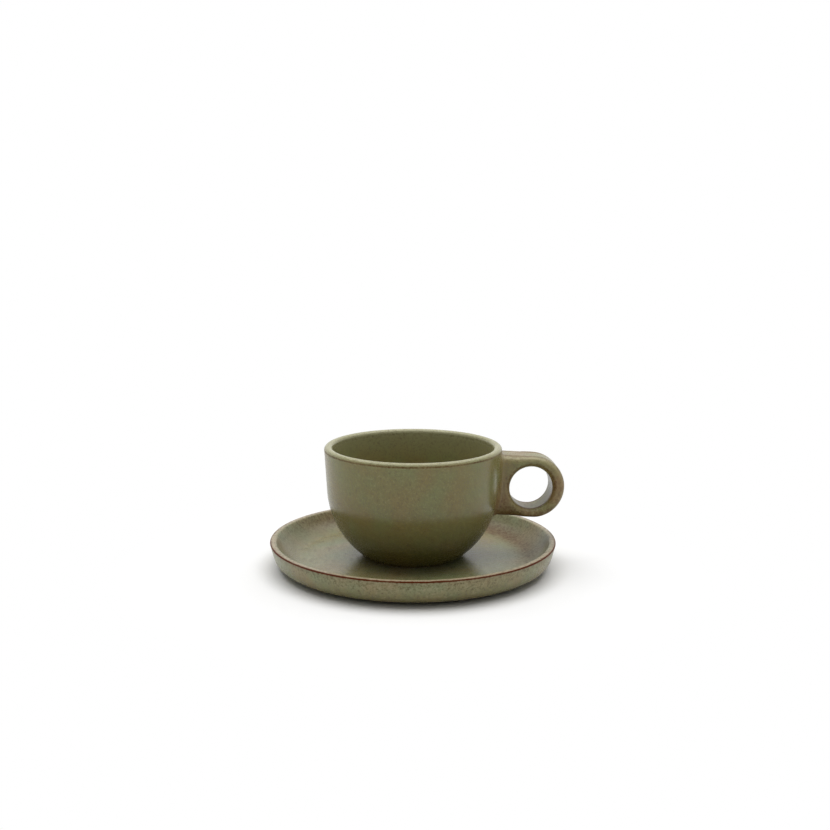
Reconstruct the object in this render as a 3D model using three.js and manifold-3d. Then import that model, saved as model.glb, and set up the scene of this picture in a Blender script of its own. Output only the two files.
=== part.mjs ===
// A stoneware coffee cup on its saucer, in millimetres with +Z up.
// The origin lies on the table under the middle of the saucer, and the handle points along +X.

import * as THREE from 'three';
import { mergeVertices } from 'three/addons/utils/BufferGeometryUtils.js';
import Module from 'manifold-3d';

// Saucer: a flat dish with a low wall that leans out to a square-cut rim
const SAUCER_RADIUS = 70.2; // to the corner of the rim, before it is rounded
const SAUCER_HEIGHT = 13.6;
const SAUCER_FLOOR_THICKNESS = 3.25;
const SAUCER_RIM_WIDTH = 3;
const SAUCER_RIM_OUTER_ROUND = 0.6;
const SAUCER_RIM_INNER_ROUND = 1.2;
const SAUCER_WALL_LEAN = 3.5; // how far the wall leans out from its heel to the rim
const SAUCER_WALL_BELLY = 0.2; // how far it swells past a straight cone
const SAUCER_WALL_ROUND = 30;
const SAUCER_HEEL_ROUND = 6;
const SAUCER_INSIDE_SLOPE = 6; // how far the inside runs in from the rim to the floor
const SAUCER_INSIDE_ROUND = 14;
const SAUCER_FOOT_RADIUS = 48;
const SAUCER_FOOT_WIDTH = 3;
const SAUCER_FOOT_HEIGHT = 1.75;
const SAUCER_FOOT_ROUND = 0.5;

// Cup bowl: part of a sphere that runs on into a straight, slightly flared wall
const CUP_RADIUS = 43.2; // outside, at the rim
const CUP_HEIGHT = 55.1;
const CUP_WALL = 4;
const CUP_FLARE = THREE.MathUtils.degToRad(3.5);
const CUP_FLOOR_THICKNESS = 4.5;
const CUP_FLOOR_ROUND = 12;
const CUP_FOOT_RADIUS = 22.2;
const CUP_FOOT_WIDTH = 3;
const CUP_FOOT_RECESS = 2; // depth of the hollow inside the foot ring
const CUP_FOOT_STEP = 0.9; // height of the step between the foot and the bowl
const CUP_FOOT_LEDGE = 1.75; // depth of that step
const CUP_FOOT_ROUND = 0.3;

// Handle: a thick upright plate with a round end and a round finger hole, square to the flared wall
const HANDLE_END_RADIUS = 14.8; // half the height of the plate
const HANDLE_THICKNESS = 17.4;
const HANDLE_REACH = 30.45; // from the rim of the cup to the end of the plate
const HANDLE_DROP = 4.3; // from the top of the cup to the plate's upper edge
const HANDLE_EDGE_ROUND = 2;
const FINGER_HOLE_RADIUS = 10.5;
const FINGER_HOLE_ROUND = 1.8;
const FINGER_HOLE_INSET = 1.65; // from the centre of the round end back towards the cup
const FINGER_HOLE_DROP = 0.4; // below the plate's middle line
const ROOT_FILLET = 5; // slip smoothed into the wall on both sides of the plate
const ROOT_END_FILLET = 1.6; // slip smoothed into the wall above and below it
const ROOT_SINK = 0.2; // the slip starts this deep, so that it leaves the plate at a clear angle
const ROOT_DEPTH = 4; // how far plate and slip run into the wall before the wall trims them
const LUTE_GAP = 0.3; // between the trimmed root and the wall

// The most of a straight run that the round at one of its ends may take
const ROUND_SHARE = 0.7;

// Facets: the most that a chord of a profile may stray from its arc, and the steps of other curves
const FACET_SAG = 0.05;
const TURN_STEPS = 60;
const HOLE_STEPS = 40;
const PLATE_END_STEPS = 20;
const PLATE_EDGE_STEPS = 4;
const ROOT_STEPS = 6;
const ROOT_SECTION_STEPS = 64;
const WALL_PASSES = 6; // rounds of stepping along the plate until the wall is at the wanted distance

const SAUCER_FLOOR_HEIGHT = SAUCER_FOOT_HEIGHT + SAUCER_FLOOR_THICKNESS;
const QUARTER_TURN = Math.PI / 2;

const wasm = await Module();
wasm.setup();

// Points along an arc in a profile of (radius, height), with as many steps as its sag needs
function arcPoints(centre, radius, from, to) {
  const step = 2 * Math.acos(1 - FACET_SAG / Math.max(radius, 2 * FACET_SAG));
  const steps = Math.max(2, Math.ceil(Math.abs(to - from) / step));
  const arc = new THREE.EllipseCurve(centre.x, centre.y, radius, radius, from, to, to < from);
  return arc.getPoints(steps);
}

// One corner of a profile, rounded by an arc that touches both of its runs
function roundedCorner(before, corner, after, round) {
  const back = before.clone().sub(corner);
  const ahead = after.clone().sub(corner);
  const room = ROUND_SHARE * Math.min(back.length(), ahead.length());
  const halfAngle = Math.abs(back.angleTo(ahead)) / 2;
  const touch = Math.min(round / Math.tan(halfAngle), room);
  const radius = touch * Math.tan(halfAngle);
  back.normalize();
  ahead.normalize();
  const inward = back.clone().add(ahead).normalize();
  const centre = corner.clone().addScaledVector(inward, radius / Math.sin(halfAngle));
  const from = corner.clone().addScaledVector(back, touch).sub(centre).angle();
  const to = corner.clone().addScaledVector(ahead, touch).sub(centre).angle();
  const sweep = THREE.MathUtils.euclideanModulo(to - from + Math.PI, 2 * Math.PI) - Math.PI;
  return arcPoints(centre, radius, from, from + sweep);
}

// A profile from a list of corners, each [radius, height] or [radius, height, round]
function roundedProfile(corners) {
  const points = corners.map(([radius, height]) => new THREE.Vector2(radius, height));
  return corners.flatMap(([, , round = 0], i) =>
    round > 0 ? roundedCorner(points[i - 1], points[i], points[i + 1], round) : [points[i]]);
}

// A profile turned about the Z axis
function turned(profile) {
  return new THREE.LatheGeometry(profile, TURN_STEPS).rotateX(QUARTER_TURN);
}

// A closed geometry as a solid that can be joined and cut
function solidOf(geometry) {
  const bare = geometry.clone();
  bare.deleteAttribute('normal');
  bare.deleteAttribute('uv');
  const merged = mergeVertices(bare);
  const corners = merged.index.array;
  const triangles = [];
  for (let i = 0; i < corners.length; i += 3) {
    const [a, b, c] = [corners[i], corners[i + 1], corners[i + 2]];
    if (a !== b && b !== c && c !== a) {
      triangles.push(a, b, c);
    }
  }
  const vertProperties = new Float32Array(merged.attributes.position.array);
  const triVerts = new Uint32Array(triangles);
  return new wasm.Manifold(new wasm.Mesh({ numProp: 3, vertProperties, triVerts }));
}

function geometryOf(solid) {
  const { vertProperties, triVerts } = solid.getMesh();
  const geometry = new THREE.BufferGeometry();
  geometry.setAttribute('position', new THREE.BufferAttribute(vertProperties, 3));
  geometry.setIndex(new THREE.BufferAttribute(triVerts, 1));
  geometry.computeVertexNormals();
  return geometry;
}

// The saucer's profile runs from the underside round the outside and back over the floor
function saucerGeometry() {
  const heel = SAUCER_RADIUS - SAUCER_WALL_LEAN;
  const bellyRadius = (heel + SAUCER_RADIUS) / 2 + SAUCER_WALL_BELLY;
  const bellyHeight = (SAUCER_FOOT_HEIGHT + SAUCER_HEIGHT) / 2;
  const rimInside = SAUCER_RADIUS - SAUCER_RIM_WIDTH;
  return turned(roundedProfile([
    [0, SAUCER_FOOT_HEIGHT],
    [SAUCER_FOOT_RADIUS - SAUCER_FOOT_WIDTH, SAUCER_FOOT_HEIGHT],
    [SAUCER_FOOT_RADIUS - SAUCER_FOOT_WIDTH, 0, SAUCER_FOOT_ROUND],
    [SAUCER_FOOT_RADIUS, 0, SAUCER_FOOT_ROUND],
    [SAUCER_FOOT_RADIUS, SAUCER_FOOT_HEIGHT],
    [heel, SAUCER_FOOT_HEIGHT, SAUCER_HEEL_ROUND],
    [bellyRadius, bellyHeight, SAUCER_WALL_ROUND],
    [SAUCER_RADIUS, SAUCER_HEIGHT, SAUCER_RIM_OUTER_ROUND],
    [rimInside, SAUCER_HEIGHT, SAUCER_RIM_INNER_ROUND],
    [rimInside - SAUCER_INSIDE_SLOPE, SAUCER_FLOOR_HEIGHT, SAUCER_INSIDE_ROUND],
    [0, SAUCER_FLOOR_HEIGHT],
  ]));
}

// The rim is a full round on the wall's middle line
const rimCentre = new THREE.Vector2(CUP_RADIUS - CUP_WALL / 2, CUP_HEIGHT - CUP_WALL / 2);

// The sphere touches the flared wall and passes through the ledge above the foot.
// Its radius is wallOffset + sin(flare) * centre height, which leaves one quadratic for that height.
const ledgeRadius = CUP_FOOT_RADIUS + CUP_FOOT_LEDGE;
const flareSine = Math.sin(CUP_FLARE);
const wallOffset = rimCentre.x * Math.cos(CUP_FLARE) - rimCentre.y * flareSine + CUP_WALL / 2;
const quadraticA = 1 - flareSine ** 2;
const quadraticB = CUP_FOOT_STEP + wallOffset * flareSine;
const quadraticC = CUP_FOOT_STEP ** 2 + ledgeRadius ** 2 - wallOffset ** 2;
const bowlHeight = (quadraticB + Math.sqrt(quadraticB ** 2 - quadraticA * quadraticC)) / quadraticA;
const bowlRadius = wallOffset + flareSine * bowlHeight;
const bowlCentre = new THREE.Vector2(0, bowlHeight);

// The outside of the bowl at a height above the foot
function wallRadius(height) {
  const wallFoot = bowlHeight - bowlRadius * flareSine;
  if (height > wallFoot) {
    return bowlRadius * Math.cos(CUP_FLARE) + (height - wallFoot) * Math.tan(CUP_FLARE);
  }
  return Math.sqrt(bowlRadius ** 2 - (height - bowlHeight) ** 2);
}

function bowlGeometry() {
  const floorHeight = CUP_FOOT_RECESS + CUP_FLOOR_THICKNESS;
  const footInside = CUP_FOOT_RADIUS - CUP_FOOT_WIDTH;
  const insideRadius = bowlRadius - CUP_WALL;
  const roundHeight = floorHeight + CUP_FLOOR_ROUND;
  const roundOut = Math.sqrt((insideRadius - CUP_FLOOR_ROUND) ** 2 - (bowlHeight - roundHeight) ** 2);
  const floorCentre = new THREE.Vector2(roundOut, roundHeight);
  const floorMeet = floorCentre.clone().sub(bowlCentre).angle() - 2 * Math.PI;
  const ledgeAngle = Math.atan2(CUP_FOOT_STEP - bowlHeight, ledgeRadius);
  const foot = roundedProfile([
    [0, CUP_FOOT_RECESS],
    [footInside, CUP_FOOT_RECESS, CUP_FOOT_ROUND],
    [footInside, 0, CUP_FOOT_ROUND],
    [CUP_FOOT_RADIUS, 0, CUP_FOOT_ROUND],
    [CUP_FOOT_RADIUS, CUP_FOOT_STEP],
  ]);
  return turned([
    ...foot,
    ...arcPoints(bowlCentre, bowlRadius, ledgeAngle, -CUP_FLARE),
    ...arcPoints(rimCentre, CUP_WALL / 2, -CUP_FLARE, Math.PI - CUP_FLARE),
    ...arcPoints(bowlCentre, insideRadius, -CUP_FLARE, floorMeet),
    ...arcPoints(floorCentre, CUP_FLOOR_ROUND, floorMeet, -QUARTER_TURN).slice(1),
    new THREE.Vector2(0, floorHeight),
  ]);
}

// The bowl without its hollow, grown by the gap that the handle keeps to it
function bowlTrimmer() {
  return turned([
    ...arcPoints(bowlCentre, bowlRadius + LUTE_GAP, -QUARTER_TURN, -CUP_FLARE),
    ...arcPoints(rimCentre, CUP_WALL / 2 + LUTE_GAP, -CUP_FLARE, QUARTER_TURN),
    new THREE.Vector2(0, CUP_HEIGHT + LUTE_GAP),
  ]);
}

// The handle's own frame: its origin is the centre of the round end, and +X runs out along the plate
const plateX = CUP_RADIUS + HANDLE_REACH - HANDLE_END_RADIUS;
const plateRun = (HANDLE_REACH - HANDLE_END_RADIUS) / Math.cos(CUP_FLARE)
  + HANDLE_END_RADIUS * Math.tan(CUP_FLARE);
const plateZ = CUP_HEIGHT - HANDLE_DROP - HANDLE_END_RADIUS * Math.cos(CUP_FLARE)
  - plateRun * Math.sin(CUP_FLARE);
const placeHandle = new THREE.Matrix4()
  .makeRotationY(CUP_FLARE)
  .setPosition(plateX, 0, plateZ);

// The point of the handle at this place in its cross-section whose distance from the wall is given
function pointOffWall(across, up, distance) {
  const point = new THREE.Vector3(CUP_RADIUS - plateX, across, up).applyMatrix4(placeHandle);
  const alongPlate = new THREE.Vector3(1, 0, 0).transformDirection(placeHandle);
  for (let pass = 0; pass < WALL_PASSES; pass += 1) {
    const wanted = Math.sqrt((wallRadius(point.z) + distance) ** 2 - across ** 2);
    point.addScaledVector(alongPlate, (wanted - point.x) / alongPlate.x);
  }
  return point;
}

// How far a concave fillet stands off the plate at a distance from the wall
function filletOffset(fillet, distance) {
  const left = THREE.MathUtils.clamp(fillet - distance, 0, fillet);
  return fillet - Math.sqrt(fillet ** 2 - left ** 2) - ROOT_SINK;
}

// The plate's rounded cross-section, widened by the slip at a distance from the wall
function rootSection(distance) {
  const offset = filletOffset(ROOT_FILLET, distance);
  const round = HANDLE_EDGE_ROUND + offset;
  const cornerX = HANDLE_THICKNESS / 2 + offset - round;
  const cornerY = HANDLE_END_RADIUS + filletOffset(ROOT_END_FILLET, distance) - round;
  const section = new THREE.Path();
  section.absarc(cornerX, cornerY, round, 0, QUARTER_TURN);
  section.absarc(-cornerX, cornerY, round, QUARTER_TURN, 2 * QUARTER_TURN);
  section.absarc(-cornerX, -cornerY, round, 2 * QUARTER_TURN, 3 * QUARTER_TURN);
  section.absarc(cornerX, -cornerY, round, 3 * QUARTER_TURN, 4 * QUARTER_TURN);
  section.closePath();
  return section.getSpacedPoints(ROOT_SECTION_STEPS).slice(0, ROOT_SECTION_STEPS);
}

// The smoothed slip: sections that follow the wall, from inside it out to where the fillet ends
function rootGeometry() {
  const distances = [-ROOT_DEPTH];
  for (let step = 0; step <= ROOT_STEPS; step += 1) {
    distances.push((ROOT_FILLET * step) / ROOT_STEPS);
  }
  const rings = distances.map((distance) =>
    rootSection(distance).map(({ x, y }) => pointOffWall(x, y, distance)));
  const points = rings.flat();
  const faces = [];
  const count = ROOT_SECTION_STEPS;
  for (let ring = 0; ring + 1 < rings.length; ring += 1) {
    for (let i = 0; i < count; i += 1) {
      const here = ring * count + i;
      const beside = ring * count + ((i + 1) % count);
      faces.push(here, beside, beside + count);
      faces.push(here, beside + count, here + count);
    }
  }
  const firstMiddle = points.push(pointOffWall(0, 0, distances[0])) - 1;
  const lastMiddle = points.push(pointOffWall(0, 0, ROOT_FILLET)) - 1;
  const lastRing = (rings.length - 1) * count;
  for (let i = 0; i < count; i += 1) {
    const next = (i + 1) % count;
    faces.push(firstMiddle, next, i);
    faces.push(lastMiddle, lastRing + i, lastRing + next);
  }
  return new THREE.BufferGeometry().setFromPoints(points).setIndex(faces);
}

// The plate lies in the handle's XZ plane, and its outline's edges are rounded
function plateGeometry() {
  const root = plateRun + CUP_RADIUS - wallRadius(plateZ - HANDLE_END_RADIUS) + ROOT_DEPTH;
  const outline = new THREE.Shape();
  outline.moveTo(-root, -HANDLE_END_RADIUS);
  outline.lineTo(0, -HANDLE_END_RADIUS);
  outline.absarc(0, 0, HANDLE_END_RADIUS, -QUARTER_TURN, QUARTER_TURN);
  outline.lineTo(-root, HANDLE_END_RADIUS);
  outline.closePath();
  const depth = HANDLE_THICKNESS - 2 * HANDLE_EDGE_ROUND;
  const plate = new THREE.ExtrudeGeometry(outline, {
    depth,
    curveSegments: PLATE_END_STEPS / 2,
    bevelThickness: HANDLE_EDGE_ROUND,
    bevelSize: HANDLE_EDGE_ROUND,
    bevelOffset: -HANDLE_EDGE_ROUND,
    bevelSegments: PLATE_EDGE_STEPS,
  });
  return plate.rotateX(QUARTER_TURN).translate(0, depth / 2, 0).applyMatrix4(placeHandle);
}

// The finger hole's cutter: a spool whose ends round the hole's mouths
function fingerHoleCutter() {
  const face = HANDLE_THICKNESS / 2;
  const clear = face + ROOT_FILLET;
  const mouth = FINGER_HOLE_RADIUS + FINGER_HOLE_ROUND;
  const nearRound = new THREE.Vector2(mouth, FINGER_HOLE_ROUND - face);
  const farRound = new THREE.Vector2(mouth, face - FINGER_HOLE_ROUND);
  const spool = new THREE.LatheGeometry([
    new THREE.Vector2(0, -clear),
    new THREE.Vector2(mouth, -clear),
    ...arcPoints(nearRound, FINGER_HOLE_ROUND, -QUARTER_TURN, -2 * QUARTER_TURN),
    ...arcPoints(farRound, FINGER_HOLE_ROUND, 2 * QUARTER_TURN, QUARTER_TURN),
    new THREE.Vector2(mouth, clear),
    new THREE.Vector2(0, clear),
  ], HOLE_STEPS);
  return spool.translate(-FINGER_HOLE_INSET, 0, -FINGER_HOLE_DROP).applyMatrix4(placeHandle);
}

function handleGeometry() {
  const handle = solidOf(plateGeometry())
    .add(solidOf(rootGeometry()))
    .subtract(solidOf(fingerHoleCutter()))
    .subtract(solidOf(bowlTrimmer()));
  return geometryOf(handle);
}

// Olive satin glaze, which breaks browner on the handle and greyer on the saucer
function glazed(name, geometry, color) {
  const mesh = new THREE.Mesh(geometry, new THREE.MeshStandardMaterial({
    color,
    roughness: 0.35,
    metalness: 0,
  }));
  mesh.name = name;
  return mesh;
}

const cup = new THREE.Group();
cup.position.z = SAUCER_FLOOR_HEIGHT;
cup.add(glazed('cup_bowl', bowlGeometry(), '#6c664c'));
cup.add(glazed('cup_handle', handleGeometry(), '#655640'));

const cupWithSaucer = new THREE.Group();
cupWithSaucer.add(glazed('saucer', saucerGeometry(), '#85836f'));
cupWithSaucer.add(cup);

export default cupWithSaucer;
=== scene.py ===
# %% [markdown]
# A stoneware coffee cup on its saucer
#
# This lesson dresses a imported model of a cup and saucer. The imported solids are coarse and plain. Each of
# them is replaced here by a fine surface of the same size, and the three surfaces share one family of
# glazes: a satin olive that is mottled all over and breaks to rust where it lies thin on an edge. Where the
# glaze is thin or pale, and where light and shade are painted on it, is worked out with each shape, and
# the glaze itself is mixed once all three are made.

# %% Load the imported model
import math

import bmesh
import bpy
import numpy as np
from mathutils import Matrix, Vector


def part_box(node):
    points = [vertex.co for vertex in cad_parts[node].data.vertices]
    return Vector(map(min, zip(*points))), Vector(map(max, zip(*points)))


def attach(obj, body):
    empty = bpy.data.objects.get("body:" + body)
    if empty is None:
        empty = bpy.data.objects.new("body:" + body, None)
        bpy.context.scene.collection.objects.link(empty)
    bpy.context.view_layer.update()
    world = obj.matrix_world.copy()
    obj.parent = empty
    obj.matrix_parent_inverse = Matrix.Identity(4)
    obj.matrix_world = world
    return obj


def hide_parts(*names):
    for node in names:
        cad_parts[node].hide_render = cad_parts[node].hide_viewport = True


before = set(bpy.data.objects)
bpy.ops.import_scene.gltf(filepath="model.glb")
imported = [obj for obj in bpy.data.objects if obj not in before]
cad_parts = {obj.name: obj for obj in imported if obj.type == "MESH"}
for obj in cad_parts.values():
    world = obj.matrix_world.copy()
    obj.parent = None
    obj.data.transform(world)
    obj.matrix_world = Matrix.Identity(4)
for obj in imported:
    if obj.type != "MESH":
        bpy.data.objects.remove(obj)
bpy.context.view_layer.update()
MM = 0.001

# %% [markdown]
# The camera
#
# It comes first, because every later look is judged through it. The picture is taken from about an arm's
# length and a little above, with the handle turned slightly away. The place is given as a distance, a
# height and a turn about the saucer's axis, which is how one would set up a tripod. The tripod leans a touch.

# %% Set the camera
CAMERA_DISTANCE = 580 * MM  # from the saucer's axis, along the floor
CAMERA_HEIGHT = 180.1 * MM
CAMERA_SIDESTEP = 1.1 * MM
CAMERA_TURN = math.radians(3.48)  # of the tripod, from the direction square to the handle
CAMERA_HEADING = math.radians(3.456)
CAMERA_PITCH = math.radians(10.276)
CAMERA_ROLL = math.radians(0.17)
FOCAL_WIDTHS = 1217 / 830  # focal length in picture widths
SENSOR_WIDTH = 36  # in millimetres, as a lens is given

camera_data = bpy.data.cameras.new("camera")
camera_data.sensor_width = SENSOR_WIDTH
camera_data.lens = FOCAL_WIDTHS * camera_data.sensor_width
camera = bpy.data.objects.new("camera", camera_data)
bpy.context.scene.collection.objects.link(camera)
bpy.context.scene.camera = camera
tripod = Vector((CAMERA_SIDESTEP, -CAMERA_DISTANCE, CAMERA_HEIGHT))
camera.location = Matrix.Rotation(-CAMERA_TURN, 3, "Z") @ tripod
sight = Vector((
    math.sin(CAMERA_HEADING) * math.cos(CAMERA_PITCH),
    math.cos(CAMERA_HEADING) * math.cos(CAMERA_PITCH),
    -math.sin(CAMERA_PITCH),
))
level_camera = sight.to_track_quat("-Z", "Y").to_matrix()
camera.rotation_euler = (level_camera @ Matrix.Rotation(CAMERA_ROLL, 3, "Z")).to_euler()
print("camera at", [round(x, 4) for x in camera.location], "lens", round(camera_data.lens, 2), "mm")

# %% [markdown]
# Profiles of the round pieces
#
# Saucer and bowl are round, so each is one profile carried round an axis. A Screw modifier could carry a
# drawn curve round as well, but a profile that is worked out also tells where the glaze is marked.
# It is a string of straight runs and arcs. Points lie closer together near the ends of a run, because there
# the glaze thins out over a millimetre or two, and that needs points to be painted on.

# %% Runs, arcs and rounded corners
RUN_STEP = 0.8 * MM
RUN_STEPS_LEAST = 2
CROWDING = 0.12
ARC_STEP = 0.45 * MM
ARC_STEPS_LEAST = 6


def run(start, end):
    """Points from start to end, at u - CROWDING sin(2 pi u) of the way for even u, closer at both ends."""
    start, end = np.array(start), np.array(end)
    count = max(RUN_STEPS_LEAST, math.ceil(np.linalg.norm(end - start) / RUN_STEP))
    even = np.linspace(0, 1, count + 1)
    return start + (even - CROWDING * np.sin(2 * np.pi * even))[:, None] * (end - start)


def arc(centre, radius, start, end):
    """Points at centre + radius (cos a, sin a), for a from start to end."""
    count = max(ARC_STEPS_LEAST, math.ceil(abs(end - start) * radius / ARC_STEP))
    angle = np.linspace(start, end, count + 1)
    return np.array(centre) + radius * np.stack([np.cos(angle), np.sin(angle)], 1)


def rounded(before, corner, after, radius):
    """The arc of that radius that touches both runs at a corner: its centre lies on the corner's bisector,
    radius / sin(half the angle) from the corner."""
    back = (before - corner) / np.linalg.norm(before - corner)
    ahead = (after - corner) / np.linalg.norm(after - corner)
    half_angle = math.acos(back @ ahead) / 2
    touch = radius / math.tan(half_angle)
    middle = (back + ahead) / np.linalg.norm(back + ahead)
    centre = corner + middle * radius / math.sin(half_angle)
    start, end = (math.atan2(*(corner + side * touch - centre)[::-1]) for side in (back, ahead))
    return arc(centre, radius, start, start + (end - start + np.pi) % (2 * np.pi) - np.pi)


def profile_of(corners):
    """A profile from corners of (radius, height, round), with runs between the rounded corners."""
    places = [np.array(corner[:2]) for corner in corners]
    turns = [
        rounded(places[i - 1], places[i], places[i + 1], corner[2]) if corner[2] else places[i][None]
        for i, corner in enumerate(corners)
    ]
    runs = [run(a[-1], b[0])[1:-1] for a, b in zip(turns, turns[1:])]
    return np.concatenate([piece for pair in zip(turns, runs) for piece in pair] + [turns[-1]])


print("a quarter round of 6 mm has", len(arc((0, 0), 6 * MM, 0, np.pi / 2)), "points")

# %% [markdown]
# From points to a mesh
#
# A turned surface is a grid: one parameter runs along the profile, the other round the axis. The profile
# starts and ends on the axis, so its two ends are single poles closed by fans of triangles, and the last
# column of faces joins the first, which leaves no seam.

# %% Make meshes
TURN_STEPS = 240


def piece_from(name, points, faces, marks):
    """A smooth mesh object at the origin, with one number per point for each named mark."""
    mesh = bpy.data.meshes.new(name)
    mesh.from_pydata(points, [], faces)
    for mark, values in marks.items():
        mesh.attributes.new(mark, "FLOAT", "POINT").data.foreach_set("value", values.astype(np.float32))
    mesh.shade_smooth()
    piece = bpy.data.objects.new(name, mesh)
    bpy.context.scene.collection.objects.link(piece)
    print(name, len(mesh.vertices), "points,", len(mesh.polygons), "faces")
    return piece


def turned(name, profile, marks):
    """The surface (r cos t, r sin t, z) for each (r, z) of a profile that starts and ends on the axis.
    A mark has one number per point of the profile, or a row of them for all the way round."""
    turn = np.linspace(0, 2 * np.pi, TURN_STEPS, endpoint=False)
    radius, height = profile[1:-1].T
    rings = np.stack(np.broadcast_arrays(
        radius[:, None] * np.cos(turn), radius[:, None] * np.sin(turn), height[:, None]), 2)
    poles = [[0, 0, profile[0, 1]], [0, 0, profile[-1, 1]]]
    points = np.concatenate([rings.reshape(-1, 3), poles])
    index = np.arange(rings.shape[0] * TURN_STEPS).reshape(-1, TURN_STEPS)
    beside = np.roll(index, -1, 1)
    quads = np.stack([index[:-1], beside[:-1], beside[1:], index[1:]], 2).reshape(-1, 4)
    first, last = np.full(TURN_STEPS, index.size), np.full(TURN_STEPS, index.size + 1)
    fans = [np.stack([first, beside[0], index[0]], 1), np.stack([index[-1], beside[-1], last], 1)]
    around = {}
    for mark, values in marks.items():
        spread = np.broadcast_to(values.reshape(len(profile), -1), (len(profile), TURN_STEPS))
        around[mark] = np.append(spread[1:-1], spread[[0, -1], 0])
    return piece_from(name, points, quads.tolist() + np.concatenate(fans).tolist(), around)


def fade_from(profile, *edges):
    """The most that strength exp(-(distance / width)^2) gives, over edges of
    (radius, height, width, strength)."""
    radius, height, width, strength = np.array(edges).T
    distance = np.hypot(profile[:, :1] - radius, profile[:, 1:] - height)
    return (strength * np.exp(-((distance / width) ** 2))).max(1)


print("a profile is carried round in", TURN_STEPS, "steps")

# %% [markdown]
# The saucer
#
# The saucer is a flat dish with a low wall, pressed in one go and glazed all over except for the ring it
# stands on. Its wall leans out, swells a little, and ends in a square-cut rim with a crisp outer edge.

# %% Draw the profile of the saucer
saucer_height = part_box("saucer")[1].z
saucer_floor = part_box("cup_bowl")[0].z  # the cup stands on it
SAUCER_RADIUS = 70.17 * MM  # to the corner of the rim, before it is rounded
RIM_WIDTH = 3 * MM
FOOT_HEIGHT = 1.75 * MM
FOOT_RADIUS = 48 * MM
FOOT_WIDTH = 3 * MM
HEEL_INSET = 3.5 * MM  # how far the wall leans out from its heel to the rim
WALL_BELLY = 0.2 * MM
INSIDE_SLOPE = 6 * MM
FOOT_ROUND = 0.5 * MM
HEEL_ROUND = 6 * MM
BELLY_ROUND = 30 * MM
EDGE_OUTSIDE = 0.6 * MM
EDGE_INSIDE = 1.2 * MM
HOLLOW_ROUND = 14 * MM

rim_inside = SAUCER_RADIUS - RIM_WIDTH
heel = SAUCER_RADIUS - HEEL_INSET
belly = ((heel + SAUCER_RADIUS) / 2 + WALL_BELLY, (FOOT_HEIGHT + saucer_height) / 2)
saucer_profile = profile_of([
    (0, FOOT_HEIGHT, 0),
    (FOOT_RADIUS - FOOT_WIDTH, FOOT_HEIGHT, FOOT_ROUND),
    (FOOT_RADIUS - FOOT_WIDTH, 0, FOOT_ROUND),
    (FOOT_RADIUS, 0, FOOT_ROUND),
    (FOOT_RADIUS, FOOT_HEIGHT, FOOT_ROUND),
    (heel, FOOT_HEIGHT, HEEL_ROUND),
    (*belly, BELLY_ROUND),
    (SAUCER_RADIUS, saucer_height, EDGE_OUTSIDE),
    (rim_inside, saucer_height, EDGE_INSIDE),
    (rim_inside - INSIDE_SLOPE, saucer_floor, HOLLOW_ROUND),
    (0, saucer_floor, 0),
])
print("saucer profile of", len(saucer_profile), "points")

# %% [markdown]
# How the glaze lies on the saucer
#
# Three marks tell the glaze what to do. It is thin on the crisp edge, where it draws back in the kiln, and
# in a brown band inside the wall, on the side that stood nearest to the heat. It lies pale along the top of
# the rim, with a painted highlight there too. It is darker in a ring over the hollow inside the wall, and
# shade is painted darker down on the heel, where the saucer meets the table: one mark does for all of these,
# above nothing for pale and below nothing for darker. It is wiped off the ring that the saucer stands on.
# Only the band changes on the way round, and it moves in over the floor on the right.

# %% Mark the glaze and turn the saucer
EDGE_DROP = 0.1 * MM
RUST_WIDTH, RUST_SHARE = 0.7 * MM, 1.2
HALO_WIDTH, HALO_SHARE = 4 * MM, 0.3
BAND_RADIUS = 62 * MM
BAND_SHIFT = 5 * MM
BAND_WIDTH, BAND_SHARE = 7 * MM, 0.52
HEAT_FROM = math.radians(64.2)  # from the handle's direction, towards the back
HEAT_EVEN, HEAT_VARIES = 0.5, 0.7
# pale glaze and a painted highlight along the top of the rim
LIP_WIDTH, LIP_PALE_AND_HIGHLIGHT = 1.2 * MM, 0.8
HOLLOW_RADIUS = 61 * MM
HOLLOW_WIDTH, HOLLOW_DARKENING = 5 * MM, 0.45
HEEL_OUT, HEEL_UP = 0.5 * MM, 1.5 * MM  # from the heel's corner to where the painted shade is darkest
HEEL_SHADE_WIDTH, HEEL_SHADE_DEPTH = 2.5 * MM, 0.55
WIPED_HEIGHT = 0.35 * MM

edge = (SAUCER_RADIUS, saucer_height - EDGE_DROP)
lip_place = (SAUCER_RADIUS - RIM_WIDTH / 2, saucer_height)
heel_shade_place = (heel + HEEL_OUT, FOOT_HEIGHT + HEEL_UP)
saucer_edge = fade_from(saucer_profile, (*edge, RUST_WIDTH, RUST_SHARE), (*edge, HALO_WIDTH, HALO_SHARE))
turn = np.linspace(0, 2 * np.pi, TURN_STEPS, endpoint=False)
heated = np.clip(HEAT_EVEN + HEAT_VARIES * np.cos(turn - HEAT_FROM), 0, 1)
from_band = saucer_profile[:, :1] - BAND_RADIUS + BAND_SHIFT * np.cos(turn)
saucer_band = BAND_SHARE * heated * np.exp(-((from_band / BAND_WIDTH) ** 2))
saucer_inside = np.arange(len(saucer_profile)) > np.argmax(saucer_profile[:, 1])
from_hollow = saucer_profile[:, 0] - HOLLOW_RADIUS
# darker in a ring over the hollow inside the wall
saucer_hollow = HOLLOW_DARKENING * np.exp(-((from_hollow / HOLLOW_WIDTH) ** 2))
# pale glaze along the rim's top, with a painted highlight on it
saucer_lip_and_highlight = fade_from(saucer_profile, (*lip_place, LIP_WIDTH, LIP_PALE_AND_HIGHLIGHT))
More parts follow.
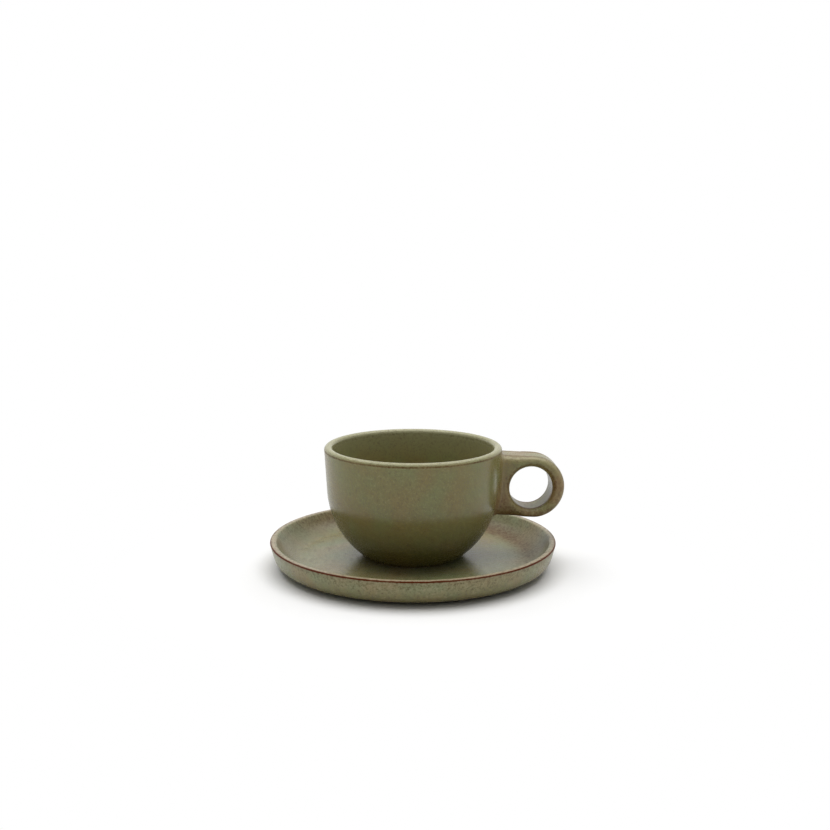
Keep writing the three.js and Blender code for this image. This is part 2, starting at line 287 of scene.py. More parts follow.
# shade painted darker on the heel, where the saucer meets the table
painted_heel_shade = fade_from(saucer_profile, (*heel_shade_place, HEEL_SHADE_WIDTH, HEEL_SHADE_DEPTH))
saucer = turned("stoneware_saucer", saucer_profile, {
    "thin": np.maximum(saucer_edge[:, None], saucer_inside[:, None] * saucer_band),
    "pale": saucer_lip_and_highlight - painted_heel_shade - saucer_inside * saucer_hollow,
    "bare": (saucer_profile[:, 1] < WIPED_HEIGHT).astype(float),
})

# %% [markdown]
# The bowl of the cup
#
# Half a ball runs on into a straight wall that flares by a few degrees, and the rim is rounded on both
# sides. The ball touches the wall and passes through the ledge above the foot. Those two conditions fix its
# centre and radius, as the root of one quadratic.

# %% Find the ball that the bowl is part of
bowl_low, bowl_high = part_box("cup_bowl")
cup_radius = bowl_high.y
cup_top = bowl_high.z
cup_foot = bowl_low.z
CUP_WALL = 4 * MM
CUP_FLARE = math.radians(3.5)
CUP_FOOT_RADIUS = 22.2 * MM
CUP_FOOT_STEP = 0.9 * MM
CUP_FOOT_LEDGE = 1.75 * MM

flare = math.sin(CUP_FLARE)
rim_round = CUP_WALL / 2
rim_centre = np.array([cup_radius - rim_round, cup_top - rim_round])
ledge = np.array([CUP_FOOT_RADIUS + CUP_FOOT_LEDGE, cup_foot + CUP_FOOT_STEP])
wall_offset = rim_centre[0] * math.cos(CUP_FLARE) - (rim_centre[1] - ledge[1]) * flare + rim_round
square, linear, rest = 1 - flare**2, -wall_offset * flare, ledge[0] ** 2 - wall_offset**2
rise = (-linear + math.sqrt(linear**2 - square * rest)) / square  # of the ball's centre above the ledge
ball_centre = np.array([0, ledge[1] + rise])
ball_radius = wall_offset + flare * rise
print("ball radius", round(ball_radius / MM, 2), "mm, centre", round(ball_centre[1] / MM, 2), "mm up")

# %% Draw the profile of the bowl
CUP_FLOOR = 4.5 * MM
CUP_FOOT_WIDTH = 3 * MM
CUP_FOOT_RECESS = 2 * MM
CUP_FLOOR_ROUND = 12 * MM
CUP_FOOT_ROUND = 0.3 * MM
RIM_OUTSIDE, RIM_INSIDE = 1.7 * MM, 1.7 * MM

inner_edge = cup_radius - CUP_WALL
inside_radius = ball_radius - CUP_WALL
inside_floor = cup_foot + CUP_FOOT_RECESS + CUP_FLOOR
round_height = inside_floor + CUP_FLOOR_ROUND
round_out = math.sqrt((inside_radius - CUP_FLOOR_ROUND) ** 2 - (ball_centre[1] - round_height) ** 2)
floor_meet = math.atan2(round_height - ball_centre[1], round_out)
ledge_angle = math.atan2(ledge[1] - ball_centre[1], ledge[0])
foot_inside = CUP_FOOT_RADIUS - CUP_FOOT_WIDTH
foot_profile = profile_of([
    (0, cup_foot + CUP_FOOT_RECESS, 0),
    (foot_inside, cup_foot + CUP_FOOT_RECESS, CUP_FOOT_ROUND),
    (foot_inside, cup_foot, CUP_FOOT_ROUND),
    (CUP_FOOT_RADIUS, cup_foot, CUP_FOOT_ROUND),
    (CUP_FOOT_RADIUS, ledge[1], CUP_FOOT_ROUND),
    (*ledge, 0),
])
ball = arc(ball_centre, ball_radius, ledge_angle, -CUP_FLARE)
rim = np.concatenate([
    arc((cup_radius - RIM_OUTSIDE, cup_top - RIM_OUTSIDE), RIM_OUTSIDE, -CUP_FLARE, np.pi / 2),
    arc((inner_edge + RIM_INSIDE, cup_top - RIM_INSIDE), RIM_INSIDE, np.pi / 2, np.pi - CUP_FLARE),
])
inside = arc(ball_centre, inside_radius, -CUP_FLARE, floor_meet)
floor_round = arc((round_out, round_height), CUP_FLOOR_ROUND, floor_meet, -np.pi / 2)
bowl_profile = np.concatenate([
    foot_profile[:-1], ball, run(ball[-1], rim[0])[1:-1], rim, run(rim[-1], inside[0])[1:-1],
    inside, floor_round[1:], run(floor_round[-1], (0, inside_floor))[1:],
])
print("bowl profile of", len(bowl_profile), "points")

# %% [markdown]
# How the glaze lies on the bowl
#
# The cup is dipped. The glaze breaks to brown in a fine line under the rim, outside and in. It comes out
# pale on the lip, with a painted highlight there too. The inside is painted light near the top, giving way
# to painted shade further down. Outside, shade is painted darker towards the foot.

# %% Mark the glaze and turn the bowl
LINE_WIDTH = 0.6 * MM
LINE_DROP, LINE_SHARE = 1.6 * MM, 0.55
INNER_LINE_DROP, INNER_LINE_SHARE = 2.4 * MM, 0.25
CUP_LIP_IN, CUP_LIP_DOWN = 0.6, 0.1  # in radii of the rim's outer round
CUP_LIP_WIDTH, CUP_LIP_PALE_AND_HIGHLIGHT = 1.3 * MM, 0.9
INSIDE_SHADE_FADE = 2.8  # how fast the painted light inside gives way to painted shade on the way down
INSIDE_LIGHT_LEAST = 0.1  # what is left of the painted light
# of the shade painted darker towards the foot
LOWER_SHADE = 0.9
CUP_WIPED_HEIGHT = 0.2 * MM

bowl_inside = np.arange(len(bowl_profile)) > np.argmax(bowl_profile[:, 1])
# how far down the ball a point lies, for the shade painted towards the foot
painted_lower_shade = np.clip((ball_centre[1] - bowl_profile[:, 1]) / ball_radius, 0, 1)
bowl_depth = (cup_top - bowl_profile[:, 1]) / (cup_top - cup_foot)
cup_lip = (cup_radius - CUP_LIP_IN * RIM_OUTSIDE, cup_top - CUP_LIP_DOWN * RIM_OUTSIDE)
# pale glaze on the lip, with a painted highlight on it
cup_lip_and_highlight = fade_from(bowl_profile, (*cup_lip, CUP_LIP_WIDTH, CUP_LIP_PALE_AND_HIGHLIGHT))
bowl_line = fade_from(
    bowl_profile,
    (cup_radius, cup_top - LINE_DROP, LINE_WIDTH, LINE_SHARE),
    (inner_edge, cup_top - INNER_LINE_DROP, LINE_WIDTH, INNER_LINE_SHARE),
)
# the inside is painted light near the top, fading into painted shade further down
painted_inside_light = np.clip(1 - INSIDE_SHADE_FADE * bowl_depth, INSIDE_LIGHT_LEAST, 1)
bowl = turned("stoneware_cup_bowl", bowl_profile, {
    "thin": bowl_line,
    "pale": np.where(bowl_inside, painted_inside_light, cup_lip_and_highlight - LOWER_SHADE * painted_lower_shade),
    "bare": (bowl_profile[:, 1] < cup_foot + CUP_WIPED_HEIGHT).astype(float),
})

# %% [markdown]
# The handle, in its own frame
#
# The handle is a thick plate with a round end and a round finger hole. It stands square to the flared wall,
# so it droops by the angle of the flare. All of it is worked out in the plate's own directions, along,
# across and up from the centre of the round end, and turned into place at the end. How far the bowl's wall
# reaches along the plate is found by stepping: from a guess, move by the distance that is still missing.

# %% Place the plate and find the wall along it
handle_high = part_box("cup_handle")[1]
PLATE_RADIUS = 14.8 * MM  # half the plate's height, and the radius of its round end
PLATE_THICKNESS = 17.4 * MM
PLATE_DROP = 4.3 * MM  # of its upper edge below the top of the cup
EDGE_ROUND = 3.2 * MM
HOLE_RADIUS = 10.5 * MM
HOLE_ROUND = 2.6 * MM
HOLE_ALONG = -1.65 * MM
HOLE_UP = -0.4 * MM
WALL_TRIES = 8

half = PLATE_THICKNESS / 2
plate_x = handle_high.x - PLATE_RADIUS
plate_length = (plate_x - cup_radius) / math.cos(CUP_FLARE) + PLATE_RADIUS * math.tan(CUP_FLARE)
plate_z = cup_top - PLATE_DROP - PLATE_RADIUS * math.cos(CUP_FLARE) - plate_length * flare


def wall_radius(height):
    """The bowl's outside radius at a height: the flared wall above where it touches the ball, and
    sqrt(radius^2 - (height - centre)^2) of the ball below."""
    touch = ball_centre[1] - ball_radius * flare
    straight = ball_radius * math.cos(CUP_FLARE) + (height - touch) * math.tan(CUP_FLARE)
    round_part = np.sqrt(np.maximum(ball_radius**2 - (height - ball_centre[1]) ** 2, 0))
    return np.where(height > touch, straight, round_part)


def in_place(along, across, up):
    """A place (along cos f + up sin f, across, up cos f - along sin f) for the flare f, from the centre of
    the plate's round end."""
    x = plate_x + along * math.cos(CUP_FLARE) + up * flare
    z = plate_z - along * flare + up * math.cos(CUP_FLARE)
    return np.stack(np.broadcast_arrays(x, across, z), -1)


def wall_along(across, up):
    """How far along the plate the wall stands, at places in the plate's cross-section."""
    along = np.full(np.broadcast(across, up).shape, -plate_length)
    for _ in range(WALL_TRIES):
        place = in_place(along, across, up)
        missing = np.sqrt(wall_radius(place[..., 2]) ** 2 - across**2) - place[..., 0]
        along = along + missing / math.cos(CUP_FLARE)
    return along


print("plate centre at x", round(plate_x / MM, 2), "z", round(plate_z / MM, 2), "mm")

# %% [markdown]
# The ring round the finger hole
#
# A hole cut with a Boolean would leave ragged faces along its rounded mouths. A grid fits the ring better:
# one parameter turns about the hole's axis, the other follows the section from the middle of the bore over
# its rounded mouth, across the flat side, over the rounded edge and on to the middle of the rim. Only one
# half of the section is worked out, and the other is its mirror image. Where the ring is narrow, the round
# of the mouth takes the larger share of the side and that of the edge the rest.

# %% Follow the section of the ring
FACE_STEPS = 12
ROUND_STEPS = 9
TINY = 1e-6  # anything smaller counts as nothing


def outline_reach(turn, radius):
    """Distance from the hole's axis to the outline of a plate of that radius: the straight edges where the
    ray meets them behind the centre of the round end, and the round end otherwise."""
    rise = np.where(np.abs(np.sin(turn)) < TINY, TINY, np.sin(turn))
    straight = (np.sign(rise) * radius - HOLE_UP) / rise
    nearer = HOLE_ALONG * np.cos(turn) + HOLE_UP * np.sin(turn)
    round_end = -nearer + np.sqrt(nearer**2 - HOLE_ALONG**2 - HOLE_UP**2 + radius**2)
    return np.where(HOLE_ALONG + straight * np.cos(turn) < 0, straight, round_end)


def face_part(turn, reach, mouth):
    """Half a section as far as the side face: the bore, its mouth's quarter round, and the flat to reach."""
    quarter = np.linspace(0, np.pi / 2, ROUND_STEPS)
    bore_across = np.linspace(0, 1, FACE_STEPS, endpoint=False) * (half - mouth)
    mouth_out = HOLE_RADIUS + mouth * (1 - np.cos(quarter))
    mouth_across = half - mouth + mouth * np.sin(quarter)
    flat_out = mouth_out[:, -1:] + (reach - mouth_out[:, -1:]) * np.linspace(0, 1, FACE_STEPS)[1:]
    out = np.concatenate([np.full_like(bore_across, HOLE_RADIUS), mouth_out, flat_out], 1)
    across = np.concatenate([bore_across, mouth_across, np.full_like(flat_out, half)], 1)
    return np.stack([HOLE_ALONG + out * np.cos(turn), across, HOLE_UP + out * np.sin(turn)], 2)


def edge_part(turn, reach, edge):
    """The rest of half a section: the edge's quarter round about the inset outline, and half the rim."""
    quarter = np.linspace(0, np.pi / 2, ROUND_STEPS)[1:]
    along, up = HOLE_ALONG + reach * np.cos(turn), HOLE_UP + reach * np.sin(turn)
    length = np.where(along < 0, np.abs(up), np.hypot(along, up))
    normal_along, normal_up = np.maximum(along, 0) / length, up / length
    out = np.concatenate([edge * np.sin(quarter), np.repeat(edge, FACE_STEPS, 1)], 1)
    rim_across = (half - edge) * np.linspace(1, 0, FACE_STEPS + 1)[1:]
    across = np.concatenate([half - edge + edge * np.cos(quarter), rim_across], 1)
    return np.stack([along + out * normal_along, across, up + out * normal_up], 2)


top_reach = outline_reach(np.array(np.pi / 2), PLATE_RADIUS)
print("above the hole the ring is", round((top_reach - HOLE_RADIUS) / MM, 2), "mm wide")

# %% Work out the ring
ARM_STEPS = 168
ROOT_STEPS = 48
MOUTH_SHARE = 0.6  # of the side's width, at most
SIDE_USED = 0.97  # of the side's width, by both rounds together
ROOT_GAP = 0.2 * MM
ROOT_PLANE = HOLE_ALONG - HOLE_RADIUS - HOLE_ROUND - ROOT_GAP  # where the ring ends and the root begins
MIRROR = np.array([1, -1, 1])

inset = PLATE_RADIUS - EDGE_ROUND
upper_corner = math.atan2(inset - HOLE_UP, ROOT_PLANE - HOLE_ALONG)
lower_corner = math.atan2(-inset - HOLE_UP, ROOT_PLANE - HOLE_ALONG)
arm_turn = np.linspace(lower_corner, upper_corner, ARM_STEPS + 1)[:, None]
room = outline_reach(arm_turn, PLATE_RADIUS) - HOLE_RADIUS
arm_mouth = np.minimum(HOLE_ROUND, MOUTH_SHARE * room)
arm_edge = np.minimum(EDGE_ROUND, SIDE_USED * room - arm_mouth)
arm_inset = outline_reach(arm_turn, PLATE_RADIUS - arm_edge)
arm_side = face_part(arm_turn, arm_inset, arm_mouth)
arm_half = np.concatenate([arm_side, edge_part(arm_turn, arm_inset, arm_edge)], 1)
root_turn = np.linspace(upper_corner, lower_corner + 2 * np.pi, ROOT_STEPS + 1)[:, None]
root_reach = (ROOT_PLANE - HOLE_ALONG) / np.cos(root_turn)
root_half = face_part(root_turn, root_reach, np.full_like(root_turn, HOLE_ROUND))
arm_grid = np.concatenate([arm_half, (arm_half * MIRROR)[:, -2::-1]], 1)
root_face_grid = np.concatenate([(root_half * MIRROR)[:, :0:-1], root_half], 1)
print("ring grids", arm_grid.shape[:2], root_face_grid.shape[:2])

# %% [markdown]
# The root, smoothed into the wall
#
# A potter joins the handle with slip and smooths it into a hollow fillet. It could be sculpted, but then it
# would not keep to its sizes. Here the plate's cross-section is carried towards the wall and widens on the
# way: by a quarter ellipse at the sides and a smaller quarter round above and below. A rounded rectangle is
# an inner rectangle plus a round, so widening the round makes the corners softer too. The sections follow
# the wall's curve and end just inside it.

# %% Work out the root
FILLET_SIDE = 4.8 * MM
FILLET_END = 1.6 * MM
ROOT_SINK = 0.8 * MM
FILLET_STEPS = 18


def fillet(wide, reach, distance):
    """A quarter ellipse, wide (1 - sqrt(1 - left^2)), where left is 1 at the wall and 0 at reach from it."""
    left = np.clip(1 - distance / reach, 0, 1)
    return wide * (1 - np.sqrt(1 - left**2))


side_up = root_half[::-1, -1, 2]
edge_count = arm_half.shape[1] - root_half.shape[1]
upper_edge = arm_grid[-1, root_half.shape[1]:root_half.shape[1] + 2 * edge_count - 1]
lower_edge = arm_grid[0, root_half.shape[1]:root_half.shape[1] + 2 * edge_count - 1][::-1]
section = np.concatenate([
    np.stack([np.full_like(side_up, half), side_up], 1), upper_edge[:, 1:],
    np.stack([np.full_like(side_up, -half), side_up[::-1]], 1), lower_edge[:, 1:],
])
inner = np.clip(section, [EDGE_ROUND - half, -inset], [half - EDGE_ROUND, inset])
normal = (section - inner) / EDGE_ROUND
start_distance = ROOT_PLANE - wall_along(*section.T)
side_reach = start_distance[np.abs(normal[:, 0]) > TINY].min()
sweep = 1 - np.sin(np.linspace(0, np.pi / 2, FILLET_STEPS))
distance = np.concatenate([sweep[:, None] * start_distance, np.full((1, len(section)), -ROOT_SINK)])
side_widen = fillet(FILLET_SIDE, side_reach, distance)
end_widen = fillet(FILLET_END, FILLET_END, distance)
inner_up = inner[:, 1] * (inset + end_widen - side_widen) / inset
across = inner[:, 0] + normal[:, 0] * (EDGE_ROUND + side_widen)
up = inner_up + normal[:, 1] * (EDGE_ROUND + side_widen)
root_grid = np.stack([wall_along(across, up) + distance, across, up], 2)
print("fillet reaches", round(side_reach / MM, 2), "mm from the wall, in", root_grid.shape[:2], "steps")

# %% [markdown]
# One closed handle
#
# The three grids meet along shared lines. Their double points are merged, the hidden end is closed by a fan
# inside the wall, and the normals are turned outwards. The marks for the glaze fall off with the distance
# to an edge. It is thin round the upper part of the bore's mouths, on the whole lower side, and in fine lines
# along the top of the plate and inside the bore's lower lip. A highlight is painted on the round above.

# %% Join the handle
def grid_faces(shape, offset, closed):
    """Four-cornered faces between neighbours on a grid of points, joined up across if closed."""
    index = offset + np.arange(shape[0] * shape[1]).reshape(shape[:2])
    beside = np.roll(index, -1, 1) if closed else index[:, 1:]
    index = index if closed else index[:, :-1]
    return np.stack([index[:-1], beside[:-1], beside[1:], index[1:]], 2).reshape(-1, 4)


grids = [(arm_grid, True), (root_face_grid, False), (root_grid, True)]
offsets = np.cumsum([0] + [grid.shape[0] * grid.shape[1] for grid, _ in grids])
middle = wall_along(np.zeros(1), np.zeros(1)) - ROOT_SINK
plate = np.concatenate([grid.reshape(-1, 3) for grid, _ in grids] + [[[middle[0], 0, 0]]])
faces = np.concatenate([grid_faces(g.shape, o, closed) for (g, closed), o in zip(grids, offsets)])
last_ring = np.arange(offsets[-1] - len(section), offsets[-1])
cap = np.stack([last_ring, np.roll(last_ring, -1), np.full_like(last_ring, offsets[-1])], 1)
print("plate of", len(plate), "points before merging")

# %% Mark the glaze on the handle
EDGE_FADE = 1.2 * MM
TOP_FADE = 3 * MM
LINE_FADE = 0.7 * MM
MOUTH_THIN, LIP_THIN = 0.5, 1.2
LOWER_THIN, LOWER_EDGE_THIN = 0.3, 0.25
TOP_THIN, TOP_LINE_THIN = 0.36, 0.6
ROUND_HIGHLIGHT = 0.9
MOUTH_MIDDLE = 0.4  # of the mouth's round, from the bore
ROUND_MIDDLE = 0.3  # of the edge's round, from its corner

along, across, up = plate.T
beyond_side = np.abs(across) - half
from_bore = np.hypot(along - HOLE_ALONG, up - HOLE_UP) - HOLE_RADIUS
beyond_rim = np.hypot(np.maximum(along, 0), up) - PLATE_RADIUS
high, low = np.clip(up / PLATE_RADIUS, 0, 1), np.clip(-up / PLATE_RADIUS, 0, 1)


def near(out, side, reach):
    """How close a line is that lies that far out and to the side: exp(-(distance / reach)^2)."""
    return np.exp(-((np.hypot(out, side) / reach) ** 2))


mouth = near(from_bore - MOUTH_MIDDLE * HOLE_ROUND, beyond_side, EDGE_FADE) * (1 - low)
lower_lip = near(from_bore, beyond_side + HOLE_ROUND, LINE_FADE) * low
past_mouth = np.clip(from_bore / HOLE_ROUND - 0.5, 0, 1)
lower_side = (LOWER_THIN + LOWER_EDGE_THIN * past_mouth) * low
top = near(beyond_rim, beyond_side + EDGE_ROUND, TOP_FADE)
top_line = near(beyond_rim, beyond_side + EDGE_ROUND, LINE_FADE) * high
round_in = ROUND_MIDDLE * EDGE_ROUND
# a highlight painted on the round of the upper edge
painted_round_highlight = near(beyond_rim + round_in, beyond_side + round_in, EDGE_FADE) * high
handle = piece_from("stoneware_cup_handle", in_place(along, across, up), faces.tolist() + cap.tolist(), {
    "thin": np.max([
        MOUTH_THIN * mouth, LIP_THIN * lower_lip, lower_side, TOP_THIN * top, TOP_LINE_THIN * top_line], 0),
    "pale": ROUND_HIGHLIGHT * painted_round_highlight,
    "bare": np.zeros(len(plate)),
})

# %% Close the handle
DOUBLES_WITHIN = 0.005 * MM

shell = bmesh.new()
shell.from_mesh(handle.data)
bmesh.ops.remove_doubles(shell, verts=shell.verts, dist=DOUBLES_WITHIN)
bmesh.ops.recalc_face_normals(shell, faces=shell.faces)
open_edges = sum(not edge.is_manifold for edge in shell.edges)
shell.to_mesh(handle.data)
shell.free()
print("handle merged to", len(handle.data.vertices), "points, open edges:", open_edges)

# %% [markdown]
# Colours and nodes
#
# Colours are written as they would be read off a screen, in sRGB hex, and turned to the linear values that
# the shader wants. One small helper adds a node of any kind: it sets the settings, fills each input with a
# value or with a link from another node, and hands back an output that the next node can take.

# %% Colour and node helpers
def linear_colour(code):
    """sRGB hex to linear: c / 12.92 below 0.04045, and ((c + 0.055) / 1.055) ^ 2.4 above."""
    value = np.array([int(code[i:i + 2], 16) for i in (1, 3, 5)]) / 255
    return (*np.where(value > 0.04045, ((value + 0.055) / 1.055) ** 2.4, value / 12.92), 1)


def add_node(tree, kind, inputs=None, output=0, **settings):
    """Adds a shader node with its settings, fills its inputs with values or with other nodes' outputs, and
    gives back one of its own outputs."""
    node = tree.nodes.new("ShaderNode" + kind)
    for name, value in settings.items():
        setattr(node, name, value)
    for socket, value in (inputs or {}).items():
        if isinstance(value, bpy.types.NodeSocket):
            tree.links.new(value, node.inputs[socket])
        else:
            node.inputs[socket].default_value = value
    return node.outputs[output]


print("a middle grey of #808080 is", round(linear_colour("#808080")[0], 3), "in linear light")

# %% [markdown]
# The glaze
#
# Reactive stoneware glaze is an iron-bearing glass, melted over the clay and cooled slowly to a satin
# surface. It is mottled at two sizes: patches of olive and green a centimetre or two across, and a fine
# grain of brown and pale crystals. The grain is drawn between one and two millimetres, coarser on the
# saucer, because a finer one would not show in the picture. Where the glaze is marked as thin it draws back,
# unevenly, it is rougher, and iron colours it rust, down to its shine. A painted picture would need an
# unwrapped mesh and show seams, so both sizes are noise on Object coordinates. Those are in metres, so the
# scale is 1 / size. Noise lies about 0.5, and each layer of colour comes up between two of its values.

# %% Mix the glaze
GLAZE_IOR = 1.55
GLAZE_SHEEN = 0.36  # less than the usual 0.5, for a satin surface
SMOOTHEST, ROUGHEST = 0.22, 0.31  # where it is pale, and where it is brown
THIN_ROUGHNESS = 0.4  # added where it is thin
CLAY_ROUGHNESS = 0.85
PATCH_SIZE = 14 * MM
RIPPLE_SIZE, RIPPLE_DEPTH = 3 * MM, 0.03 * MM
RIPPLE_STRENGTH = 0.5
GRAIN_SHARPNESS = 0.8
GREEN_FROM, GREEN_FULL = 0.35, 0.65
BROWN_FROM, BROWN_FULL = 0.48, 0.66
PALE_FROM, PALE_FULL = 0.46, 0.32
SATIN_FROM, SATIN_FULL = 0.3, 0.7
RUST_FROM, RUST_FULL = 0.15, 1.06
RUST_WANDER = 1.5  # of the grain against the patches
CLAY = linear_colour("#8c7358")
RUST = linear_colour("#502006")
# a dark olive, for painted shade on the saucer's heel and the cup's lower bowl, and the hollow's ring
DARK_OLIVE = linear_colour("#544b22")
WHITE = linear_colour("#ffffff")
SHARE, UNDER, OVER, MIXED = 0, 6, 7, 2  # a Mix node's inputs and output for colours


def olive_glaze(name, olive, green, brown, pale, grain, grain_size):
    """Satin glaze: olive and green in patches, paler or darker where marked, with painted light and shade,
    flecked with brown and pale by a share of grain, rust where it is thin, and bare clay on the foot."""
    material = bpy.data.materials.new(name)
    material.use_nodes = True
    tree = material.node_tree
    place = add_node(tree, "TexCoord", output="Object")
    marks = ("thin", "pale", "bare")
    thin, pale_and_light, bare = (add_node(tree, "Attribute", output="Fac", attribute_name=mark) for mark in marks)
    patch = add_node(tree, "TexNoise", {"Vector": place, "Scale": 1 / PATCH_SIZE, "Detail": 3})
    fleck = add_node(tree, "TexNoise", {
        "Vector": place, "Scale": 1 / grain_size, "Detail": 4, "Roughness": GRAIN_SHARPNESS})
    ripple = add_node(tree, "TexNoise", {"Vector": place, "Scale": 1 / RIPPLE_SIZE, "Detail": 2})

    green_share = add_node(tree, "MapRange", {
        "Value": patch, "From Min": GREEN_FROM, "From Max": GREEN_FULL})
    brown_share = add_node(tree, "MapRange", {
        "Value": fleck, "From Min": BROWN_FROM, "From Max": BROWN_FULL, "To Max": grain})
    pale_fleck = add_node(tree, "MapRange", {
        "Value": fleck, "From Min": PALE_FROM, "From Max": PALE_FULL, "To Max": grain / 2})
    # the pale mark brings in pale glaze and painted highlights and light; below nothing, painted shade
    pale_and_light_share = add_node(tree, "Math", {0: pale_fleck, 1: pale_and_light}, operation="MAXIMUM")
    darker_share = add_node(tree, "MapRange", {"Value": pale_and_light, "From Min": 0, "From Max": -1})
    wander = add_node(tree, "Math", {0: fleck, 1: RUST_WANDER, 2: patch}, operation="MULTIPLY_ADD")
    drawn_back = add_node(tree, "Math", {0: thin, 1: wander}, operation="MULTIPLY")
    rust_share = add_node(tree, "MapRange", {
        "Value": drawn_back, "From Min": RUST_FROM, "From Max": RUST_FULL}, interpolation_type="SMOOTHSTEP")

    colour = linear_colour(olive)
    for share, layer in (
        (green_share, linear_colour(green)), (pale_and_light_share, linear_colour(pale)), (darker_share, DARK_OLIVE),
        (brown_share, linear_colour(brown)), (rust_share, RUST), (bare, CLAY),
    ):
        colour = add_node(tree, "Mix", {SHARE: share, UNDER: colour, OVER: layer}, MIXED, data_type="RGBA")
    shine = add_node(tree, "Mix", {SHARE: rust_share, UNDER: WHITE, OVER: RUST}, MIXED, data_type="RGBA")
    satin = add_node(tree, "MapRange", {
        "Value": fleck, "From Min": SATIN_FROM, "From Max": SATIN_FULL,
        "To Min": SMOOTHEST, "To Max": ROUGHEST})
    satin = add_node(tree, "Math", {0: thin, 1: THIN_ROUGHNESS, 2: satin}, operation="MULTIPLY_ADD")
    dull = add_node(tree, "Math", {0: bare, 1: CLAY_ROUGHNESS}, operation="MULTIPLY")
    roughness = add_node(tree, "Math", {0: satin, 1: dull}, operation="MAXIMUM")
    normal = add_node(tree, "Bump", {"Height": ripple, "Strength": RIPPLE_STRENGTH, "Distance": RIPPLE_DEPTH})

    shader = tree.nodes["Principled BSDF"]
    shader.inputs["IOR"].default_value = GLAZE_IOR
    shader.inputs["Specular IOR Level"].default_value = GLAZE_SHEEN
    tree.links.new(colour, shader.inputs["Base Color"])
    tree.links.new(roughness, shader.inputs["Roughness"])
    tree.links.new(shine, shader.inputs["Specular Tint"])
    tree.links.new(normal, shader.inputs["Normal"])
    print(name, "has", len(tree.nodes), "nodes")
    return material


print("patches repeat about", round(1 / PATCH_SIZE), "times a metre")

# %% [markdown]
# One glaze, three ways
#
# The three pieces come out of the kiln alike but not the same. The saucer is greyer and the most flecked,
# the bowl is smoother and more olive, and the handle, thin and dipped last, is browner.

# %% Glaze the pieces
saucer.data.materials.append(olive_glaze(
    "grey_olive_satin_glaze", olive="#8e825a", green="#828860", brown="#574827", pale="#b6a68e",
    grain=0.85, grain_size=1.4 * MM,
))
bowl.data.materials.append(olive_glaze(
    "olive_satin_glaze", olive="#877a4a", green="#808252", brown="#5b4929", pale="#a4a27a",
    grain=0.6, grain_size=1.1 * MM,
))
handle.data.materials.append(olive_glaze(
    "brown_olive_satin_glaze", olive="#897046", green="#7d7d4b", brown="#583d24", pale="#aaa27a",
    grain=0.6, grain_size=1.3 * MM,
))

# %% [markdown]
# Floor and light
#
# The set stands on a white table under one wide soft lamp, overhead and a little behind it, so that tops
# and rims are bright and the front is lit mostly by the table. White surroundings fill in, but not from low
# down, so that the shadow close to the set stays dark. The table is painted matt, which scatters light evenly
# and shows no gloss. It is lit to white near the set, and further out it is simply shown white to the camera
# and in reflections, so that the picture has no horizon. The lamp's power is worked out from the share of its
# light that reaches the table.

# %% Lay the floor
FLOOR_HALF = 4  # half its width, in metres

floor_mesh = bpy.data.meshes.new("white_table")
corners = np.array([[-1, -1, 0], [1, -1, 0], [1, 1, 0], [-1, 1, 0]]) * FLOOR_HALF
floor_mesh.from_pydata(corners.astype(float).tolist(), [], [[0, 1, 2, 3]])
table = bpy.data.objects.new("white_table", floor_mesh)
bpy.context.scene.collection.objects.link(table)
print("floor reaches", FLOOR_HALF, "m out")

# %% Paint the floor
FLOOR_NEAR, FLOOR_FAR = 0.08, 0.15  # between them, from the middle, the floor goes over to plain white
PAINT_ROUGHNESS = 0.9


def showing_rays(tree):
    """1 on rays that show the background, to the camera, in gloss or through glass, and 0 on the others."""
    shows = 0
    for ray in ("Is Camera Ray", "Is Glossy Ray", "Is Transmission Ray"):
        kind = add_node(tree, "LightPath", output=ray)
        shows = add_node(tree, "Math", {0: shows, 1: kind}, operation="MAXIMUM")
    return shows


white_paint = bpy.data.materials.new("matt_white_paint")
white_paint.use_nodes = True
tree = white_paint.node_tree
paint = tree.nodes["Principled BSDF"]
paint.inputs["Base Color"].default_value = linear_colour("#f7f7f7")
paint.inputs["Roughness"].default_value = PAINT_ROUGHNESS
paint.inputs["Specular IOR Level"].default_value = 0
place = add_node(tree, "TexCoord", output="Object")
from_middle = add_node(tree, "VectorMath", {0: place}, output="Value", operation="LENGTH")
far_share = add_node(tree, "MapRange", {
    "Value": from_middle, "From Min": FLOOR_NEAR, "From Max": FLOOR_FAR}, interpolation_type="SMOOTHSTEP")
plain_share = add_node(tree, "Math", {0: far_share, 1: showing_rays(tree)}, operation="MULTIPLY")
plain_white = add_node(tree, "Emission", {"Strength": 1})
surface = add_node(tree, "MixShader", {0: plain_share, 1: paint.outputs[0], 2: plain_white})
tree.links.new(surface, tree.nodes["Material Output"].inputs["Surface"])
table.data.materials.append(white_paint)
print("floor is plain white from", FLOOR_FAR, "m out")

# %% Hang the lamp
LAMP_ELEVATION = math.radians(80)
LAMP_DISTANCE = 1.6  # metres from the middle of the floor
LAMP_WIDTH, LAMP_DEPTH = 2.4, 1.75
LAMP_SAMPLES = 41  # each way over the lamp
LAMP_LEVEL = 0.8  # share of white that the lamp alone gives a white floor

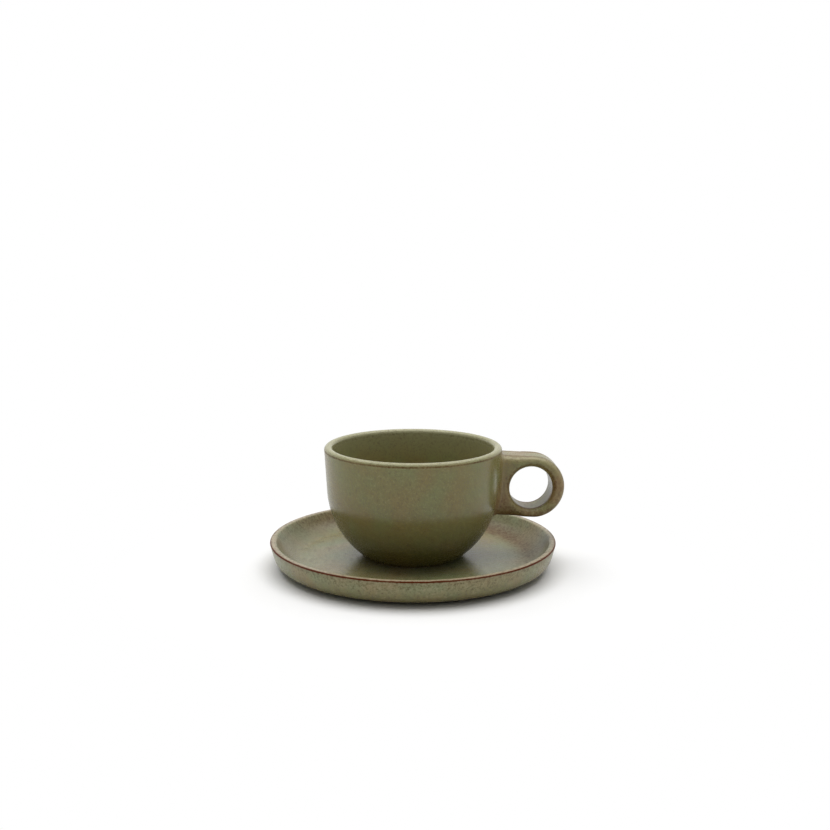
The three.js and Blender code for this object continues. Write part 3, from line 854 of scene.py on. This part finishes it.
lamp_data = bpy.data.lights.new("soft_lamp", "AREA")
lamp_data.shape = "RECTANGLE"
lamp_data.size, lamp_data.size_y = LAMP_WIDTH, LAMP_DEPTH
lamp = bpy.data.objects.new("soft_lamp", lamp_data)
bpy.context.scene.collection.objects.link(lamp)
behind = Vector((sight.x, sight.y, 0)).normalized()
upwards = Vector((0, 0, 1))
lamp.location = LAMP_DISTANCE * (behind * math.cos(LAMP_ELEVATION) + upwards * math.sin(LAMP_ELEVATION))
lamp_turn = (-lamp.location).to_track_quat("-Z", "Y")
lamp.rotation_euler = lamp_turn.to_euler()
spread = np.linspace(-0.5, 0.5, LAMP_SAMPLES)
lamp_x, lamp_y = np.meshgrid(spread * LAMP_WIDTH, spread * LAMP_DEPTH)
lamp_high = lamp.location.z + lamp_y * (lamp_turn @ Vector((0, 1, 0))).z
# The cosines at the lamp and at the floor, over the squared distance, on average over the lamp
lamp_share = LAMP_DISTANCE * (lamp_high / (LAMP_DISTANCE**2 + lamp_x**2 + lamp_y**2) ** 2).mean()
lamp_data.energy = LAMP_LEVEL * math.pi**2 / lamp_share
print("lamp", round(lamp_data.energy, 2), "W at", [round(x, 2) for x in lamp.location])

# %% Fill from white surroundings
FILL_LEVEL = 0.35  # share of white, high up
FILL_LOW, FILL_HIGH = 0.1, 0.5  # sines of the elevations between which the fill sets in

world = bpy.data.worlds.new("white_surroundings")
bpy.context.scene.world = world
world.use_nodes = True
tree = world.node_tree
direction = add_node(tree, "TexCoord", output="Generated")
elevation = add_node(tree, "SeparateXYZ", {0: direction}, output="Z")
fill = add_node(tree, "MapRange", {
    "Value": elevation, "From Min": FILL_LOW, "From Max": FILL_HIGH, "To Max": FILL_LEVEL})
strength = add_node(tree, "Math", {0: fill, 1: showing_rays(tree)}, operation="MAXIMUM")
background = tree.nodes["Background"]
background.inputs["Color"].default_value = WHITE
tree.links.new(strength, background.inputs["Strength"])
bpy.context.scene.view_settings.view_transform = "Standard"
print("surroundings give up to", FILL_LEVEL, "of white")

# %% [markdown]
# On the bodies
#
# Each surface stands for its solid, which is hidden, and moves with the body that carries it.
# All three take their finish from the one family of glazes above.

# %% Ride on the bodies and finish
for piece, node_name, body in (
    (saucer, "saucer", "saucer"), (bowl, "cup_bowl", "cup"), (handle, "cup_handle", "cup")
):
    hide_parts(node_name)
    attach(piece, body)
